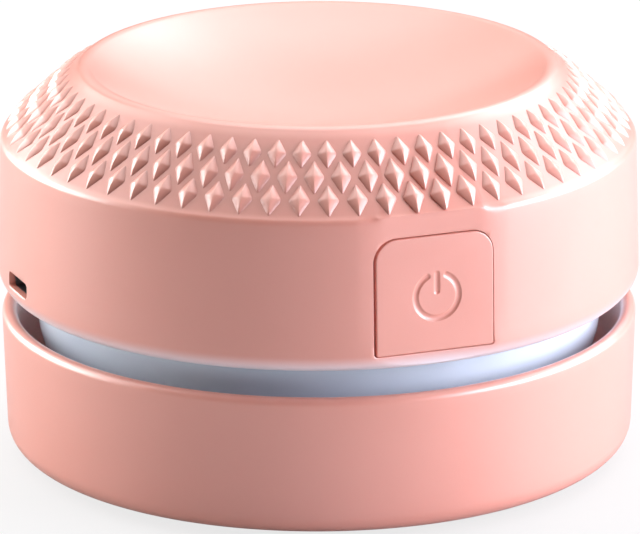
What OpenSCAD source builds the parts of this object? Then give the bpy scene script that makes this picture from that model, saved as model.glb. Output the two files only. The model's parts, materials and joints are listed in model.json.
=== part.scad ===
// Desktop mini vacuum cleaner: a round head with a knurled shoulder and a dished top
// stands on a base cup, and lifts off it so that the dust bowl can be emptied.
// Millimetres, +Z up. The origin is on the table, at the centre of the four feet.
// An azimuth is an angle about Z, counted from the front (-Y) towards the right (+X).

/* [Heights] */
// Height of a rubber foot under the base cup
foot_h = 1.0; // [0.6:0.1:2]
// Height of the base cup, from its underside to its rim
cup_h = 18.9; // [17:0.1:24]
// Height of the air outlet between the cup's rim and the housing
air_gap = 3.4; // [2.6:0.1:5]
// Height of the housing's wall, up to the crease
wall_h = 20.1; // [19:0.1:26]
// Height of the knurled shoulder, from the crease to the top of the lip
shoulder_h = 9.6; // [8:0.1:13]
// Depth of the dish in the top
dish_depth = 8.6; // [6:0.1:9]

/* [Top housing] */
// Diameter of the housing at the foot of its wall, the widest of the object
body_d = 86; // [84:0.5:92]
// How far the wall leans in on its way up to the crease
wall_taper = 0.6; // [0.3:0.05:1]
// Width of the shoulder, from the crease in to the middle of the lip's rounding
shoulder_w = 11.45; // [10:0.05:13]
// Wall of the housing
housing_t = 2.2; // [1.6:0.1:2.6]
// Rounding of the lip
lip_r = 1.6; // [1:0.1:2.4]
// Rounding of the crease
crease_r = 1.2; // [0.6:0.1:2]
// Rounding of the housing's lower edge
hem_r = 2.3; // [1.6:0.1:2.6]
// Thickness of the ledge inside the lower edge
ledge_t = 3.0; // [2.8:0.1:3.4]
// Height of that ledge
ledge_h = 2.3; // [2:0.1:3]

/* [Knurl] */
// Diamonds around the shoulder, in each row
diamond_count = 68; // [48:1:72]
// Width of a diamond
diamond_w = 2.5; // [1.6:0.05:2.6]
// How far a diamond stands proud
diamond_raise = 0.55; // [0.3:0.05:0.8]
// Distance from the crease to the middle of the lowest row
row_start = 3.35; // [3.2:0.05:3.9]
// Distance between the middles of two rows
row_step = 3.5; // [3.2:0.05:3.6]
// Length of a diamond, down the slope
diamond_l = 4.8; // [4:0.1:5]
// Azimuth of the first diamond of the lowest row
knurl_azimuth = 1.8; // [-3:0.1:3]

/* [Base cup] */
// How far the cup's rim stays inside the housing's widest diameter
cup_step = 0.4; // [0:0.05:1]
// How far the cup's wall leans in on its way down
cup_taper = 0.55; // [0.3:0.05:1]
// Wall of the cup
cup_t = 2.0; // [1.4:0.1:2.2]
// Thickness of the cup's floor
cup_floor = 2.4; // [2.2:0.1:2.8]
// Rounding of the cup's lower edge
cup_r = 3.0; // [1.5:0.1:4]

/* [Dust bowl] */
// How far the bowl's mouth lies inside the housing's widest diameter
bowl_inset = 5.3; // [5:0.05:5.6]
// How far the bowl's flank leans in on its way down
bowl_taper = 3.5; // [2.5:0.1:4.5]
// Rounding between the bowl's flank and its floor
bowl_foot_round = 4; // [2.5:0.1:5]
// Rounding between the bowl's flank and its collar
bowl_knee_round = 6; // [3:0.1:8]
// Height of the straight collar at the bowl's mouth
collar_h = 5.2; // [5:0.1:6]
// Wall of the bowl
bowl_t = 1.4; // [1.2:0.05:1.5]
// Height of the bosses that the bowl stands on
boss_h = 2.6; // [2.6:0.1:3.2]
// Bore of the suction inlet
inlet_d = 16; // [14:0.5:17]
// Wall of the inlet tube
tube_t = 1.2; // [0.9:0.1:1.4]
// How far the inlet tube rises above the bowl's floor
tube_h = 6.1; // [5:0.1:6.6]

/* [Brush] */
// Length of the bristles below their strip
bristle_l = 3.35; // [3:0.05:3.4]
// Width of a bristle
bristle_w = 0.34; // [0.25:0.01:0.4]
// Bristles along one strip, in each row
bristle_count = 18; // [14:1:20]
// Rows of bristles across a strip
bristle_rows = 5; // [4:1:5]
// Width of a brush strip
strip_w = 4.0; // [3.6:0.1:4.2]
// Thickness of a strip's backing
strip_t = 1.0; // [0.8:0.05:1.1]
// Angle that one strip covers
strip_angle = 80; // [70:1:84]

/* [Head chassis] */
// Thickness of the chassis plate
plate_t = 1.3; // [1.2:0.1:1.6]
// How far the plate is set up into the housing
plate_recess = 0.3; // [0.1:0.1:0.5]
// Depth of the spigot that plugs into the bowl
spigot_h = 4.3; // [4:0.1:4.6]
// Wall of the spigot and of the fan well
spigot_t = 1.3; // [1.1:0.1:1.5]
// Thickness of the seal ring on the bowl's mouth
seal_t = 1.0; // [0.8:0.1:1.2]
// Width of an exhaust slot
slot_w = 1.3; // [1:0.1:1.3]
// Exhaust slots around the plate
slot_count = 18; // [12:1:24]
// Diameter of the air inlet in the floor of the fan well
eye_d = 32; // [28:1:36]

/* [Filter] */
// Thickness of the filter frame below the spigot
filter_t = 2.0; // [1.8:0.1:2.2]
// Height of the collar that plugs the frame into the spigot
plug_h = 2.0; // [1.6:0.1:2.4]
// Thickness of the filter mesh
mesh_t = 0.4; // [0.3:0.05:0.6]

/* [Fan and motor] */
// Diameter of the impeller
fan_d = 48; // [44:0.5:50]
// Height of the impeller's blades
blade_h = 4.8; // [4.4:0.1:5]
// Thickness of a blade
blade_t = 0.9; // [0.7:0.05:1.1]
// Blades on the impeller
blade_count = 11; // [7:1:13]
// Diameter of the motor's can
motor_d = 24.4; // [22:0.1:26]
// Length of the motor, with its end cap
motor_l = 11.9; // [10:0.1:12]
// Diameter of the motor's shaft
shaft_d = 2.0; // [1.5:0.1:2.5]
// Thickness of the plate that the motor hangs from
mount_t = 1.6; // [1.4:0.1:1.8]

/* [Battery] */
// Diameter of the battery cell
cell_d = 14; // [13:0.1:14.5]
// Length of the battery cell
cell_l = 43; // [38:0.5:48]

/* [Button] */
// Azimuth of the power button
button_azimuth = 20.6; // [14:0.1:30]
// Width of the power button
button_w = 16.0; // [14:0.1:16.4]
// Height of the power button
button_h = 15.0; // [13:0.1:15.4]
// Rounding of the button's upper corners
button_r = 2.8; // [1.5:0.1:4]
// Gap around the button
button_gap = 0.25; // [0.15:0.05:0.35]
// Depth of the flat that the button sits in
flat_depth = 0.88; // [0.7:0.02:1]
// Travel of the button
button_travel = 0.6; // [0.4:0.1:0.8]

/* [Charging port] */
// Azimuth of the charging port
port_azimuth = -68; // [-72:0.5:-60]
// Width of the charging slot
port_w = 7.0; // [6:0.1:7.2]
// Height of the charging slot
port_h = 2.1; // [1.8:0.1:2.3]
// Sheet of the charging socket's shell
shell_t = 0.25; // [0.2:0.05:0.3]
// Thickness of the circuit boards
board_t = 0.8; // [0.7:0.05:1]

/* [Fasteners] */
// Diameter of the screws' shanks
screw_d = 2.0; // [1.8:0.1:2.4]
// Diameter of the screws' heads
screw_head_d = 3.8; // [3.4:0.1:4.2]
// Height of the screws' heads
screw_head_h = 1.2; // [1:0.1:1.3]

/* [Hidden] */
$fn = 96;

// Colours of the mouldings and of the parts inside
pink = [0.94, 0.72, 0.68];
frosted = [0.72, 0.76, 0.88, 0.7];
natural_white = [0.93, 0.93, 0.9];
board_green = [0.1, 0.38, 0.22];
steel = [0.72, 0.73, 0.75];
black_plastic = [0.12, 0.12, 0.13];

// Clearances between pieces
slip = 0.15;       // a moulding that plugs into another
running = 0.05;    // a shaft or plunger in its bore, on the radius
loose = 0.3;       // pieces that never touch
over = 1;          // how far a cut runs past the face it opens
eps = 0.01;        // bite of one solid into another of its own piece

// Levels
rim_z = foot_h + cup_h;
housing_z = rim_z + air_gap;
crease_z = housing_z + wall_h;
top_z = crease_z + shoulder_h;
dish_z = top_z - dish_depth;
plate_z = housing_z + plate_recess;
plate_top = plate_z + plate_t;
bowl_top = plate_z - seal_t;
bowl_z = foot_h + cup_floor + boss_h;
bowl_floor_top = bowl_z + bowl_t;
spigot_z = plate_z - spigot_h;
well_floor_top = spigot_z + spigot_t;
fan_clear = 0.6;
blade_z = well_floor_top + fan_clear;
disc_z = blade_z + blade_h;
disc_t = 1.1;
hub_over = 0.9;    // how far the impeller's hub stands above its disc
hub_clear = 0.5;
mount_z = disc_z + disc_t + hub_over + hub_clear;
mount_top = mount_z + mount_t;
motor_top = mount_top + motor_l;
end_cap_t = 1.2;
end_cap_z = motor_top - end_cap_t;
motor_boss_r = 3.5;      // front boss of the can, which centres it in the mount
motor_collar_h = 3;
motor_screw_x = 8;
motor_screw_r = 0.7;
motor_screw_l = 2.4;     // length of those screws inside the can
shaft_end_lift = 1.8;    // the shaft's lower end above the blades' lower edge
shaft_z = blade_z + shaft_end_lift;
shaft_top = motor_top - 0.7;

// Radii
body_r = body_d / 2;
cup_rim_r = body_r - cup_step;
cup_foot_r = cup_rim_r - cup_taper;
bowl_r = body_r - bowl_inset;
bowl_foot_r = bowl_r - bowl_taper;
ledge_ri = body_r - ledge_t;
plate_r = ledge_ri - slip;
mouth_ri = bowl_r - bowl_t;
spigot_ro = mouth_ri - slip;
spigot_ri = spigot_ro - spigot_t;
fan_gap = 2;             // between the fan's tips and its well
well_ri = fan_d / 2 + fan_gap;
well_ro = well_ri + spigot_t;
filter_rim_w = 3.6;      // width of the filter frame's rim inside the spigot's wall
frame_ri = spigot_ri - filter_rim_w;
mesh_sink = 0.4;         // the mesh lies this far below the top of its frame
seal_inset = 0.1;        // the seal and the filter frame stay inside the walls they lie on
tube_ro = inlet_d / 2 + tube_t;
tube_lift = 0.2;         // how far the suction tube ends above the cup's underside
tube_z = foot_h + tube_lift;
tube_top = bowl_floor_top + tube_h;

// Lip: a rounding that runs smoothly into the dish and into the shoulder
crease = [body_r - wall_taper, crease_z];
crest = [crease.x - shoulder_w, top_z - lip_r];
crest_over = crest.y - dish_z;
dish_r = (pow(crest.x, 2) + pow(crest_over, 2) - pow(lip_r, 2)) / (2 * (crest_over + lip_r));
dish_centre = [0, dish_z + dish_r];
dish_edge = crest + lip_r * (dish_centre - crest) / norm(dish_centre - crest);
slope_l = sqrt(pow(norm(crest - crease), 2) - pow(lip_r, 2));
slope_a = atan2(crest.y - crease.y, crest.x - crease.x) - asin(lip_r / norm(crest - crease));
slope_up = [cos(slope_a), sin(slope_a)];
slope_out = [sin(slope_a), -cos(slope_a)];
slope_end = crease + slope_l * slope_up;
draft = atan2(wall_taper, wall_h);
wall_out = [cos(draft), sin(draft)];

// Fasteners: four that clamp chassis, motor mount and housing, and four under the feet
clamp_azimuths = [-110, -20, 62, 110];
clamp_r = (well_ro + spigot_ri) / 2;
post_r = 3;
foot_azimuths = [45, 135, 225, 315];
foot_r = 4;
foot_margin = 2.2;                 // from a foot to the bowl's rounded foot
foot_ring_r = bowl_foot_r - foot_r - foot_margin;
pilot_r = screw_d / 2 - 0.15;
clear_r = screw_d / 2 + 0.2;
head_clear_r = screw_head_d / 2 + 0.2;
head_sink = screw_head_h + 0.1;    // depth of the recess for a screw's head
grip_l = 6;                        // length of the housing screws in their posts
bowl_boss_r = 2.5;

// Button: the flat follows the wall's draft
flat_r = body_r - flat_depth;
button_z = housing_z + hem_r;
button_mid_z = button_z + button_h / 2 - 0.4;
flange_w = 1.0;
flange_t = 0.9;
flange_face = sqrt(pow(crease.x - housing_t, 2) - pow(button_w / 2 + flange_w, 2)) - 0.2;
switch_w = 6;
switch_h = 3.1;
switch_gap = button_travel + 0.4;      // from the switch's face to the button's flange
switch_face = flange_face - flange_t - switch_gap;
switch_board_r = switch_face - switch_h - board_t;
switch_board_w = 15;
switch_board_h = 13;
plunger_r = 1.6;
plunger_in = 1.2;                      // length of the plunger inside the switch
plunger_tip = switch_face + switch_gap - loose;
stem_r = 2.4;
flange_drop = 1.3;                     // the flange stops short of the ledge by this much

// Charging socket, on a board that lies on the chassis plate
shell_w = port_w + 2 * shell_t;
shell_h = port_h + 2 * shell_t;
port_z = plate_top + board_t + shell_h / 2;
skin_t = 1.0;
socket_mouth = body_r - skin_t - slip;
socket_l = 6.6;
charging_board_w = 14;
charging_board_l = 8.5;

// Battery, lying behind the motor
cell_y = motor_d / 2 + cell_d / 2 + 1.8;
cell_z = mount_top + cell_d / 2 + 0.3;
cell_pip = 0.8;
saddle_x = 12;
saddle_t = 2;
saddle_wall = 1.3;

// Brush channel, moulded up from the cup's floor around the inlet
strip_slip = 0.1;
channel_gap = 2.3;       // floor left between the tube and the brush channel
channel_ri = tube_ro + channel_gap;
channel_ro = channel_ri + strip_w + 2 * strip_slip;
channel_t = 1.1;
tip_z = 0.25;            // the bristles end just above the table
strip_z = tip_z + bristle_l;
strip_top = strip_z + strip_t;

// ---- Outlines -------------------------------------------------------------

function unit(v) = v / norm(v);

// Centre of the rounding of radius r at corner b, between a and c
function round_centre(a, b, c, r) =
    let (u = unit(a - b), v = unit(c - b), half = acos(u * v) / 2)
    b + unit(u + v) * r / sin(half);

// The two points where that rounding begins and ends
function round_ends(a, b, c, r) =
    let (u = unit(a - b), v = unit(c - b), t = r / tan(acos(u * v) / 2))
    r == 0 ? [b] : [b + u * t, b + v * t];

// Convex outline whose corners [x, y, r] are rounded with true arcs
module rounded(corners) {
    n = len(corners);
    function at(i) = [corners[(i + n) % n].x, corners[(i + n) % n].y];
    function ends(i) = round_ends(at(i - 1), at(i), at(i + 1), corners[i].z);
    polygon([for (i = [0 : n - 1]) each ends(i)]);
    for (i = [0 : n - 1])
        if (corners[i].z > 0) {
            centre = round_centre(at(i - 1), at(i), at(i + 1), corners[i].z);
            intersection() {
                translate(centre) circle(corners[i].z);
                polygon([centre, ends(i)[0], at(i), ends(i)[1]]);
            }
        }
}

// Flat ring between two radii
module ring(ro, ri) {
    difference() {
        circle(ro);
        circle(ri);
    }
}

// Solid ring that stands from z up to z + h
module tube(ro, ri, z, h) {
    translate([0, 0, z])
        difference() {
            cylinder(r = ro, h = h);
            translate([0, 0, -over]) cylinder(r = ri, h = h + 2 * over);
        }
}

// Outline drawn across and up, turned to face outwards at the front, from radius r to r + t
module outward(r, t) {
    translate([0, -r, 0]) rotate([90, 0, 0]) linear_extrude(t) children();
}

module around(azimuth) {
    rotate([0, 0, azimuth]) children();
}

module at_each(azimuths, r) {
    for (azimuth = azimuths)
        around(azimuth) translate([0, -r, 0]) children();
}

// Pan-head screw, its head's underside at z = 0 and its shank pointing up
module screw(shank_l) {
    translate([0, 0, -screw_head_h]) cylinder(d = screw_head_d, h = screw_head_h);
    translate([0, 0, -eps]) cylinder(d = screw_d, h = shank_l + eps);
}

// ---- Base -----------------------------------------------------------------

module base_cup() {
    cup_top = rim_z - cup_t / 2;
    color(pink)
        difference() {
            union() {
                rotate_extrude() {
                    difference() {
                        rounded([[0, foot_h, 0], [cup_foot_r, foot_h, cup_r],
                                 [cup_rim_r, cup_top, 0], [0, cup_top, 0]]);
                        rounded([[0, foot_h + cup_floor, 0],
                                 [cup_foot_r - cup_t, foot_h + cup_floor, cup_r - 1],
                                 [cup_rim_r - cup_t, cup_top, 0],
                                 [cup_rim_r - cup_t, cup_top + over, 0],
                                 [0, cup_top + over, 0]]);
                    }
                    translate([cup_rim_r - cup_t / 2, cup_top]) circle(cup_t / 2);
                }
                brush_channel();
            }
            translate([0, 0, foot_h - over])
                linear_extrude(strip_top - foot_h + over) ring(channel_ro, channel_ri);
            translate([0, 0, -over]) cylinder(r = tube_ro + slip, h = rim_z);
            at_each(foot_azimuths, foot_ring_r) {
                translate([0, 0, foot_h - over]) cylinder(r = head_clear_r, h = over + head_sink);
                cylinder(r = clear_r, h = bowl_z);
            }
        }
}

// The channel that holds the brush strips, closed on top
module brush_channel() {
    translate([0, 0, foot_h])
        linear_extrude(strip_top + channel_t - foot_h)
            ring(channel_ro + channel_t, tube_ro + slip);
}

// Outline of the bowl's outside, or of its inside when in is the wall
module bowl_outline(in) {
    knee_z = bowl_top - collar_h;
    rounded([[0, bowl_z + in, 0],
             [bowl_foot_r - in, bowl_z + in, bowl_foot_round - in],
             [bowl_r - in, knee_z, bowl_knee_round],
             [bowl_r - in, bowl_top + (in > 0 ? over : 0), 0],
             [0, bowl_top + (in > 0 ? over : 0), 0]]);
}

module dust_bowl() {
    color(frosted)
        difference() {
            union() {
                rotate_extrude()
                    difference() {
                        bowl_outline(0);
                        bowl_outline(bowl_t);
                    }
                translate([0, 0, tube_z]) cylinder(r = tube_ro, h = tube_top - tube_z);
                at_each(foot_azimuths, foot_ring_r)
                    translate([0, 0, bowl_z - boss_h]) cylinder(r = bowl_boss_r, h = boss_h + eps);
            }
            cylinder(r = inlet_d / 2, h = top_z);
            at_each(foot_azimuths, foot_ring_r)
                translate([0, 0, bowl_z - boss_h - over])
                    cylinder(r = pilot_r, h = boss_h + over + bowl_t / 2);
        }
}

// One brush strip: an arc of backing with rows of upright bristles fused into it
module brush_strip(azimuth) {
    strip_ri = channel_ri + strip_slip;
    root_in = 0.3;
    root_z = strip_z + root_in;
    row_gap = strip_w / (bristle_rows + 1);
    margin = 3;
    places = [for (row = [1 : bristle_rows], i = [0 : bristle_count - 1])
        let (r = strip_ri + row * row_gap,
             spread = strip_angle - 2 * margin,
             a = azimuth - 90 - spread / 2
                 + spread * (i + (row % 2) / 2) / (bristle_count - 0.5))
        r * [cos(a), sin(a)]];
    corners = [for (k = [0 : 2]) bristle_w / 2 * [cos(120 * k), sin(120 * k)]];
    strands = [for (p = places, z = [tip_z, root_z], c = corners) [p.x + c.x, p.y + c.y, z]];
    faces = [for (s = [0 : len(places) - 1])
        let (b = 6 * s)
        each [[b, b + 1, b + 2], [b + 5, b + 4, b + 3],
              for (k = [0 : 2])
                  let (m = (k + 1) % 3)
                  each [[b + k, b + 3 + k, b + 3 + m], [b + k, b + 3 + m, b + m]]]];
    color(natural_white)
        union() {
            rotate([0, 0, azimuth - 90 - strip_angle / 2])
                rotate_extrude(angle = strip_angle)
                    translate([strip_ri, strip_z]) square([strip_w, strip_t]);
            polyhedron(strands, faces);
        }
}

module brush_front() { brush_strip(0); }
module brush_right() { brush_strip(90); }
module brush_back() { brush_strip(180); }
module brush_left() { brush_strip(270); }

module feet() {
    color(natural_white)
        at_each(foot_azimuths, foot_ring_r) cylinder(r = foot_r, h = foot_h);
}

module base_screws() {
    color(steel)
        at_each(foot_azimuths, foot_ring_r)
            translate([0, 0, foot_h + head_sink])
                screw(bowl_z + bowl_t / 2 - foot_h - head_sink - loose);
}

// ---- Head: housing --------------------------------------------------------

// Corner of the inner wall and the inside of the shoulder
function inner_crease() =
    crease - housing_t * (wall_out + slope_out) / (1 + wall_out * slope_out);

module housing_outline() {
    difference() {
        union() {
            rounded([[0, housing_z, 0], [body_r, housing_z, hem_r],
                     [crease.x, crease.y, crease_r], [slope_end.x, slope_end.y, 0],
                     [dish_edge.x, dish_edge.y, 0], [0, dish_z, 0]]);
            intersection() {
                translate(crest) circle(lip_r);
                polygon([crest, slope_end, [slope_end.x, top_z + over],
                         [dish_edge.x, top_z + over], dish_edge]);
            }
        }
        intersection() {
            translate(dish_centre) circle(dish_r, $fn = 360);
            polygon([[0, dish_z], dish_edge, [dish_edge.x, dish_z - over], [0, dish_z - over]]);
        }
    }
}

module housing_hollow_outline() {
    ledge_run = 0.8;
    corner = inner_crease();
    slope_peak = corner + corner.x / -slope_up.x * slope_up;
    difference() {
        polygon([[0, housing_z - over], [ledge_ri, housing_z - over],
                 [ledge_ri, housing_z + ledge_h], [body_r - housing_t, housing_z + ledge_h + ledge_run],
                 corner, slope_peak]);
        translate(dish_centre) circle(dish_r + housing_t, $fn = 360);
    }
}

// Three rows of pointed diamonds on the shoulder, the middle one staggered
module knurl() {
    sink = 0.1;
    spread = (diamond_raise + sink) / diamond_raise;
    half = spread / 2 * [diamond_w, diamond_l];
    corners = [[half.x, 0, -sink], [0, half.y, -sink], [-half.x, 0, -sink], [0, -half.y, -sink],
               [0, 0, diamond_raise]];
    points = [for (row = [0 : 2], i = [0 : diamond_count - 1], c = corners)
        let (a = knurl_azimuth - 90 + 360 / diamond_count * (i + (row % 2) / 2),
             p = crease + (row_start + row * row_step + c.y) * slope_up + c.z * slope_out)
        [p.x * cos(a) - c.x * sin(a), p.x * sin(a) + c.x * cos(a), p.y]];
    faces = [for (d = [0 : 3 * diamond_count - 1])
        let (b = 5 * d)
        each [[b, b + 1, b + 2], [b, b + 2, b + 3],
              for (k = [0 : 3]) [b + 4, b + (k + 1) % 4, b + k]]];
    polyhedron(points, faces);
}

// All that lies outside the flat beside the button
module outside_flat() {
    around(button_azimuth)
        translate([0, -flat_r, housing_z]) rotate([-draft, 0, 0])
            translate([-body_r / 2, -body_r / 4, -over])
                cube([body_r, body_r / 4, wall_h + shoulder_h]);
}

// Outline of the button, or of its opening when grow is the gap
module button_outline(grow) {
    w = button_w / 2 + grow;
    bottom = button_z - grow;
    top = button_z + button_h + grow;
    low_r = 0.3;
    rounded([[-w, bottom, low_r], [w, bottom, low_r],
             [w, top, button_r + grow], [-w, top, button_r + grow]]);
}

module port_outline(w, h) {
    rounded([[-w / 2, port_z - h / 2, h / 4], [w / 2, port_z - h / 2, h / 4],
             [w / 2, port_z + h / 2, h / 4], [-w / 2, port_z + h / 2, h / 4]]);
}

module top_housing() {
    color(pink)
        difference() {
            union() {
                rotate_extrude() housing_outline();
                knurl();
            }
            difference() {
                rotate_extrude() housing_hollow_outline();
                at_each(clamp_azimuths, clamp_r)
                    translate([0, 0, mount_top]) cylinder(r = post_r, h = top_z);
            }
            at_each(clamp_azimuths, clamp_r)
                cylinder(r = pilot_r, h = mount_top + grip_l + over);
            outside_flat();
            around(button_azimuth) outward(switch_face, body_r) button_outline(button_gap);
            around(port_azimuth) {
                outward(ledge_ri - 2, body_r) port_outline(port_w, port_h);
                outward(ledge_ri - 2, socket_mouth + slip - ledge_ri + 2)
                    port_outline(shell_w + 2 * slip, shell_h + 2 * slip);
            }
        }
}

// ---- Head: chassis, seal and filter ---------------------------------------

module grille_outline() {
    hub_r = 5;
    spoke_w = 1.8;
    hoop_w = 1.4;
    hoop_r = (eye_d / 2 + hub_r) / 2;
    difference() {
        ring(eye_d / 2, hub_r);
        ring(hoop_r + hoop_w / 2, hoop_r - hoop_w / 2);
        for (i = [0 : 3])
            rotate(45 * i) square([eye_d, spoke_w], center = true);
    }
}

module exhaust_outline() {
    edge_w = 0.6;
    slot_ro = plate_r - edge_w;
    bar_w = 2.4;
    difference() {
        ring(slot_ro, slot_ro - slot_w);
        for (i = [0 : slot_count - 1])
            rotate(360 / slot_count * i) translate([0, -bar_w / 2]) square([body_r, bar_w]);
    }
}

// Two slotted posts that hold the edges of the switch board
module board_guides() {
    guide = [2.6, 3.0, 7];
    difference() {
        for (side = [-1, 1])
            translate([side * (switch_board_w / 2) - guide.x / 2,
                       -switch_board_r - board_t / 2 - guide.y / 2, plate_top - eps])
                cube(guide);
        translate([-switch_board_w / 2 - slip, -switch_board_r - board_t - running, plate_top])
            cube([switch_board_w + 2 * slip, board_t + 2 * running, guide.z + over]);
    }
}

module chassis_plate() {
    color(natural_white)
        difference() {
            union() {
                tube(plate_r, well_ri, plate_z, plate_t);
                tube(well_ro, well_ri, spigot_z, plate_z + eps - spigot_z);
                tube(spigot_ro, spigot_ri, spigot_z, plate_z + eps - spigot_z);
                translate([0, 0, spigot_z]) cylinder(r = well_ri + eps, h = spigot_t);
                at_each(clamp_azimuths, clamp_r)
                    translate([0, 0, plate_z]) cylinder(r = post_r, h = mount_z - plate_z);
                around(button_azimuth) board_guides();
            }
            translate([0, 0, spigot_z - over]) linear_extrude(spigot_t + 2 * over) grille_outline();
            translate([0, 0, plate_z - over]) linear_extrude(plate_t + 2 * over) exhaust_outline();
            at_each(clamp_azimuths, clamp_r) {
                translate([0, 0, plate_z - over]) cylinder(r = clear_r, h = mount_top);
                translate([0, 0, plate_z - over]) cylinder(r = head_clear_r, h = head_sink + over);
            }
        }
}

module seal_ring() {
    color(natural_white) tube(bowl_r - seal_inset, mouth_ri, bowl_top, seal_t);
}

module filter_frame() {
    frame_z = spigot_z - filter_t;
    hub_r = 4;
    spoke_w = 1.6;
    spoke_t = filter_t - mesh_t - mesh_sink;
    spoke_l = 2 * frame_ri + 1;
    color(frosted)
        union() {
            tube(spigot_ro - seal_inset, frame_ri, frame_z, filter_t);
            tube(spigot_ri - slip, spigot_ri - slip - spigot_t, spigot_z - eps, plug_h + eps);
            translate([0, 0, frame_z]) {
                cylinder(r = hub_r, h = spoke_t);
                for (i = [0 : 2])
                    rotate([0, 0, 60 * i])
                        translate([-spoke_l / 2, -spoke_w / 2, 0])
                            cube([spoke_l, spoke_w, spoke_t]);
            }
        }
}

// Woven filter cloth, a disc on the frame's spokes
module filter_mesh() {
    color([0.85, 0.86, 0.9])
        translate([0, 0, spigot_z - mesh_t - mesh_sink]) cylinder(r = frame_ri, h = mesh_t);
}

// ---- Head: motor, battery and boards --------------------------------------

module saddle() {
    half_w = cell_d / 2 + saddle_wall;
    translate([-saddle_t / 2, 0, 0])
        rotate([90, 0, 90]) linear_extrude(saddle_t)
            difference() {
                translate([cell_y - half_w, mount_top - eps])
                    square([2 * half_w, cell_d / 2 - 1]);
                translate([cell_y, cell_z]) circle(cell_d / 2 + running);
            }
}

module motor_mount() {
    disc_r = switch_board_r - 1;
    collar_t = 1.2;
    screw_gap = 0.25;
    color(natural_white)
        difference() {
            union() {
                translate([0, 0, mount_z]) cylinder(r = disc_r, h = mount_t);
                at_each(clamp_azimuths, clamp_r)
                    translate([0, 0, mount_z]) cylinder(r = post_r, h = mount_t);
                tube(motor_d / 2 + running + collar_t, motor_d / 2 + running, mount_top - eps,
                     motor_collar_h);
                for (side = [-1, 1])
                    translate([side * saddle_x, 0, 0]) saddle();
            }
            translate([0, 0, mount_z - over])
                cylinder(r = motor_boss_r + running, h = mount_t + 2 * over);
            for (side = [-1, 1])
                translate([side * motor_screw_x, 0, mount_z - over])
                    cylinder(r = motor_screw_r + screw_gap, h = mount_t + 2 * over);
            at_each(clamp_azimuths, clamp_r) cylinder(r = clear_r, h = top_z);
        }
}

module motor_can() {
    color(steel)
        difference() {
            union() {
                translate([0, 0, mount_top]) cylinder(d = motor_d, h = end_cap_z - mount_top);
                translate([0, 0, mount_z + 0.2]) cylinder(r = motor_boss_r, h = mount_t);
            }
            cylinder(r = shaft_d / 2 + running, h = top_z);
            for (side = [-1, 1])
                translate([side * motor_screw_x, 0, mount_z])
                    cylinder(r = motor_screw_r, h = mount_t + motor_screw_l + 0.2);
        }
}

// Plastic end cap that holds the brushes, with two terminal tags
module motor_end_cap() {
    tag = [2, 4, 0.4];
    tag_x = 6;
    step_in = 0.6;
    color(black_plastic)
        difference() {
            union() {
                translate([0, 0, end_cap_z]) cylinder(r = motor_d / 2 - step_in, h = end_cap_t);
                for (side = [-1, 1])
                    translate([side * tag_x - tag.x / 2, motor_d / 2 - tag.y / 2, end_cap_z])
                        cube(tag);
            }
            cylinder(r = shaft_d / 2 + running, h = shaft_top + loose);
        }
}

module motor_screws() {
    head_h = 0.8;
    color(steel)
        for (side = [-1, 1])
            translate([side * motor_screw_x, 0, mount_z]) {
                translate([0, 0, -head_h]) cylinder(r = 2 * motor_screw_r, h = head_h);
                translate([0, 0, -eps]) cylinder(r = motor_screw_r, h = mount_t + motor_screw_l);
            }
}

module housing_screws() {
    color(steel)
        at_each(clamp_azimuths, clamp_r)
            translate([0, 0, plate_z + head_sink])
                screw(mount_top + grip_l - plate_z - head_sink);
}

module battery_cell() {
    pip_d = cell_d * 0.4;
    color([0.2, 0.35, 0.62])
        translate([-cell_l / 2, cell_y, cell_z])
            rotate([0, 90, 0]) {
                cylinder(d = cell_d, h = cell_l);
                translate([0, 0, cell_l - eps]) cylinder(d = pip_d, h = cell_pip);
            }
}

module charging_board() {
    overhang = 1.4;
    color(board_green)
        around(port_azimuth)
            translate([-charging_board_w / 2, -spigot_ro - overhang, plate_top])
                cube([charging_board_w, charging_board_l, board_t]);
}

module charging_socket() {
    back_t = 1;
    color(steel)
        around(port_azimuth)
            difference() {
                outward(socket_mouth - socket_l, socket_l) port_outline(shell_w, shell_h);
                outward(socket_mouth - socket_l + back_t, socket_l) port_outline(port_w, port_h);
            }
}

module socket_tongue() {
    tongue_w = port_w * 0.55;
    tongue_h = 0.7;
    tongue_in = 1.2;
    tongue_drop = 0.35;
    color(black_plastic)
        around(port_azimuth)
            translate([-tongue_w / 2, -socket_mouth + tongue_in,
                       port_z + port_h / 2 - tongue_h - tongue_drop])
                cube([tongue_w, socket_l - tongue_in - 1, tongue_h]);
}

module switch_board() {
    color(board_green)
        around(button_azimuth)
            translate([-switch_board_w / 2, -switch_board_r - board_t, plate_top])
                cube([switch_board_w, board_t, switch_board_h]);
}

// Push switch: a square body, and the round bore that its plunger slides in
module switch_body() {
    bore_l = plunger_in + button_travel + 0.4;
    color(black_plastic)
        around(button_azimuth)
            difference() {
                outward(switch_board_r + board_t, switch_h)
                    translate([0, button_mid_z]) square(switch_w, center = true);
                outward(switch_face - bore_l, bore_l + over)
                    translate([0, button_mid_z]) circle(plunger_r + running);
            }
}

// ---- Button ---------------------------------------------------------------

module switch_plunger() {
    color([0.85, 0.85, 0.86])
        around(button_azimuth)
            outward(switch_face - plunger_in, plunger_tip - switch_face + plunger_in)
                translate([0, button_mid_z]) circle(plunger_r);
}

module power_button() {
    flange_back = flange_face - flange_t;
    color(pink)
        around(button_azimuth)
            difference() {
                union() {
                    outward(flange_face - eps, flat_r - flange_face + over) button_outline(0);
                    outward(flange_back, flange_t)
                        translate([-button_w / 2 - flange_w, button_z + flange_drop])
                            square([button_w + 2 * flange_w, button_h - flange_drop]);
                    outward(plunger_tip, flange_back - plunger_tip + eps)
                        translate([0, button_mid_z]) circle(stem_r);
                }
                around(-button_azimuth) outside_flat();
            }
}

// ---- Fan ------------------------------------------------------------------

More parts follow.
